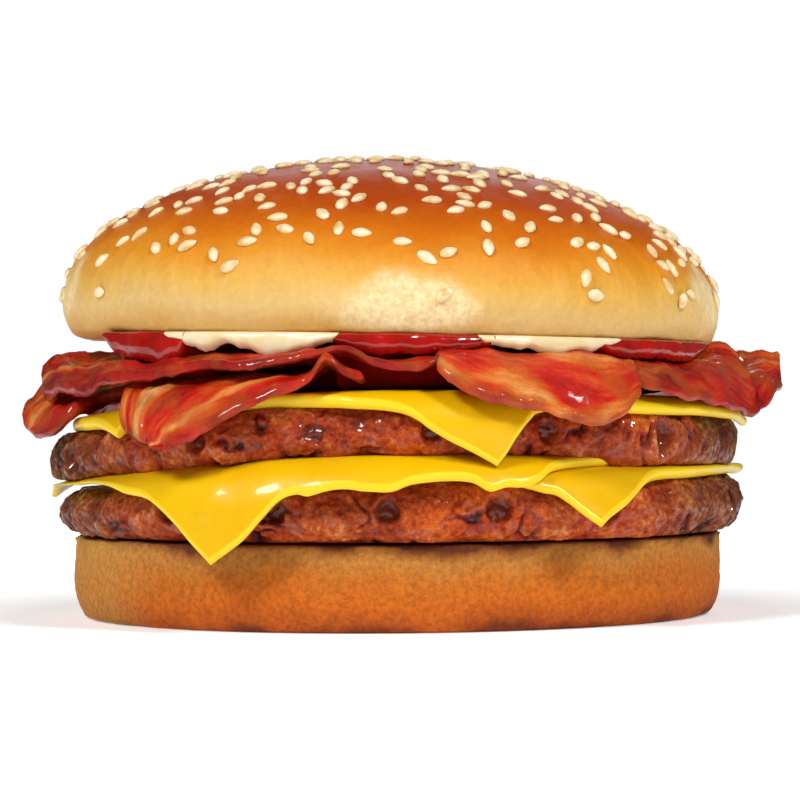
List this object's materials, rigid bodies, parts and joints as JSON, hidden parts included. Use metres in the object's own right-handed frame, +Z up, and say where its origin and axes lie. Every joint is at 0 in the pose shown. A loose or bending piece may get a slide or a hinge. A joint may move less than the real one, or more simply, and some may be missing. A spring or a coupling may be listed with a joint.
{
  "type": "double cheeseburger",
  "caption": "Layered burger on a round base: grilled beef, melted cheese slices, crinkled bacon and sauce under a domed sesame bun.",
  "frame": {"origin": "centre of the bottom bun's flat base, on the surface that the burger stands on", "axes": "+Z up out of the base, -Y towards the front that the picture shows, +X to the right as seen from there"},
  "size_m": [0.1372, 0.1247, 0.0802],
  "materials": {
    "bread_side": "soft baked bread, matte with a fine crumb",
    "crust_glaze": "glazed baked crust with sesame seeds, satin",
    "grilled_beef": "coarse grilled ground beef, moist",
    "cheese_slice": "melted processed cheese, soft gloss",
    "fried_bacon": "crinkled fried bacon with pale fat streaks, glossy",
    "ketchup_gloss": "wet tomato ketchup, high gloss",
    "mayonnaise_cream": "thick cream mayonnaise, soft gloss"
  },
  "bodies": {
    "root": {"heel": "bread_side", "patty_lower": "grilled_beef", "patty_upper": "grilled_beef", "cheese_lower_right": "cheese_slice", "cheese_lower_left": "cheese_slice", "cheese_upper": "cheese_slice", "bacon_across": "fried_bacon", "bacon_front_left": "fried_bacon", "bacon_front_right": "fried_bacon", "bacon_rear": "fried_bacon", "bacon_top_left": "fried_bacon", "bacon_top_right": "fried_bacon", "bacon_top_rear": "fried_bacon", "ketchup": "ketchup_gloss", "mayonnaise": "mayonnaise_cream", "crown": "crust_glaze"}
  },
  "joints": []
}
